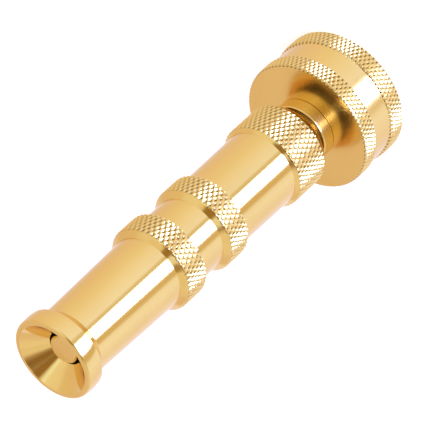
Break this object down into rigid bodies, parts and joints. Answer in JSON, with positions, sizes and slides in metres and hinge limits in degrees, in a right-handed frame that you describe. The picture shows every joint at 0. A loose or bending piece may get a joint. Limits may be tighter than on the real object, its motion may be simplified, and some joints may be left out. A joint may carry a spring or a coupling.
{
  "type": "hose spray nozzle",
  "caption": "Twist-adjustable brass garden hose nozzle: knurled barrel with a flared mouth on a ported stem, and a swivel hose coupling nut.",
  "frame": {"origin": "centre of the hose coupling's open end face, on the nozzle's axis", "axes": "+Z along the nozzle's axis, from the hose coupling to the mouth; X and Y are free, the outside is round"},
  "size_m": [0.0351, 0.035, 0.1145],
  "materials": {
    "barrel_brass": "turned and polished, knurled bands",
    "coupling_brass": "turned satin, knurled bands",
    "stem_brass": "fine turned",
    "spring_steel": "plain spring steel",
    "black_rubber": "matt"
  },
  "bodies": {
    "stem": {"stem": "stem_brass", "jet_pin": "stem_brass", "shutoff_o_ring": "black_rubber", "front_o_ring": "black_rubber", "rear_o_ring": "black_rubber", "tailpiece": "stem_brass"},
    "coupling": {"coupling_nut": "coupling_brass", "hose_washer": "black_rubber"},
    "travel_ring": {"snap_ring": "spring_steel"},
    "barrel": {"barrel": "barrel_brass"}
  },
  "joints": [
    {"name": "coupling_swivel", "type": "hinge", "parent": "stem", "child": "coupling", "pos_m": [0, 0, 0.0146], "axis": [0, 0, 1], "continuous": true},
    {"name": "barrel_travel", "type": "slide", "parent": "stem", "child": "travel_ring", "axis": [0, 0, 1], "range_m": [-0.0025, 0.005]},
    {"name": "barrel_turn", "type": "hinge", "parent": "travel_ring", "child": "barrel", "pos_m": [0, 0, 0.0266], "axis": [0, 0, 1], "range_deg": [-360, 720]}
  ],
  "couplings": [
    {"joint": "barrel_travel", "follows": "barrel_turn", "m_per_rad": 0.00039789}
  ]
}
